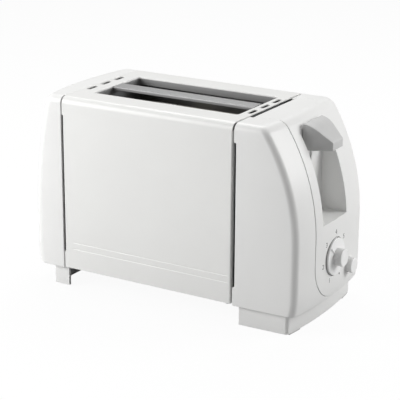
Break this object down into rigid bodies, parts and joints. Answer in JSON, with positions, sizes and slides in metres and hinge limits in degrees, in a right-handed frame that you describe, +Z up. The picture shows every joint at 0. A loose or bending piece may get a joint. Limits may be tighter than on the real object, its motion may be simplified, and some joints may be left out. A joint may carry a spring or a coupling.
{
  "type": "two-slice pop-up toaster",
  "caption": "Two-slot pop-up toaster with a steel shell, moulded end caps, a side lift lever, a browning dial, a cancel button and a slide-out crumb tray.",
  "frame": {"origin": "on the table, in the middle of the toaster's outline", "axes": "+X points to the end with the lever and the dial, -Y is the front, +Z is up"},
  "size_m": [0.2992, 0.1336, 0.185],
  "materials": {
    "shell_paint": "white enamel, semi-gloss",
    "divider_steel": "satin steel",
    "cap_plastic": "white moulding, satin gloss",
    "panel_plastic": "white moulding, satin gloss",
    "skirt_plastic": "white moulding, satin",
    "knob_plastic": "white moulding, satin gloss",
    "dial_plastic": "white moulding, satin gloss",
    "button_plastic": "white moulding, satin gloss",
    "pad_rubber": "matte white rubber",
    "zinc_steel": "zinc-plated sheet, dull",
    "tray_steel": "bare steel sheet",
    "reflector_aluminium": "rolled sheet, bright",
    "mica_board": "pressed mica board, matte",
    "heating_ribbon": "resistance ribbon, oxidised",
    "guard_wire": "plated wire",
    "rack_steel": "plated sheet and wire",
    "spring_steel": "spring wire",
    "bush_nylon": "natural nylon",
    "core_iron": "laminated iron, dark",
    "coil_copper": "varnished copper winding",
    "board_green": "laminate board",
    "dark_plastic": "black moulding",
    "shaft_aluminium": "turned shaft"
  },
  "bodies": {
    "casing": {"outer_shell": "shell_paint", "slot_divider": "divider_steel", "left_end_cap": "cap_plastic", "right_end_cap": "cap_plastic", "control_panel": "panel_plastic", "base_plate": "zinc_steel", "left_foot_skirt": "skirt_plastic", "right_foot_skirt": "skirt_plastic", "rubber_pads": "pad_rubber", "tray_rails": "zinc_steel", "chassis_left": "zinc_steel", "chassis_right": "zinc_steel", "reflector_front": "reflector_aluminium", "reflector_back": "reflector_aluminium", "mica_front": "mica_board", "mica_centre": "mica_board", "mica_back": "mica_board", "ribbon_front": "heating_ribbon", "ribbon_centre": "heating_ribbon", "ribbon_back": "heating_ribbon", "guard_front_outer": "guard_wire", "guard_front_inner": "guard_wire", "guard_back_inner": "guard_wire", "guard_back_outer": "guard_wire", "guide_rod": "guard_wire", "lift_spring": "spring_steel", "magnet_core": "core_iron", "magnet_coil": "coil_copper", "circuit_board": "board_green", "potentiometer": "dark_plastic", "cancel_switch": "dark_plastic", "contact_block": "dark_plastic", "terminal_block": "bush_nylon", "cord_gland": "skirt_plastic", "base_screws": "zinc_steel", "board_screws": "zinc_steel"},
    "carriage": {"carriage_plate": "zinc_steel", "carriage_bush": "bush_nylon", "bread_rack_front": "rack_steel", "bread_rack_back": "rack_steel", "lever_arm": "zinc_steel", "lever_knob": "knob_plastic", "armature_plate": "core_iron"},
    "dial": {"browning_dial": "dial_plastic", "dial_shaft": "shaft_aluminium"},
    "cancel": {"cancel_button": "button_plastic"},
    "tray": {"crumb_tray": "tray_steel"}
  },
  "joints": [
    {"name": "lift", "type": "slide", "parent": "casing", "child": "carriage", "axis": [0, 0, 1], "range_m": [-0.06, 0], "stiffness_N_per_m": 60, "springref_m": 0.05, "deforming": ["lift_spring"]},
    {"name": "browning_turn", "type": "hinge", "parent": "casing", "child": "dial", "pos_m": [0.13935, 0, 0.0575], "axis": [1, 0, 0], "range_deg": [-101, 108]},
    {"name": "cancel_press", "type": "slide", "parent": "casing", "child": "cancel", "axis": [1, 0, 0], "range_m": [-0.0025, 0], "stiffness_N_per_m": 400, "springref_m": 0.001},
    {"name": "tray_slide", "type": "slide", "parent": "casing", "child": "tray", "axis": [0, 1, 0], "range_m": [0, 0.11]}
  ]
}
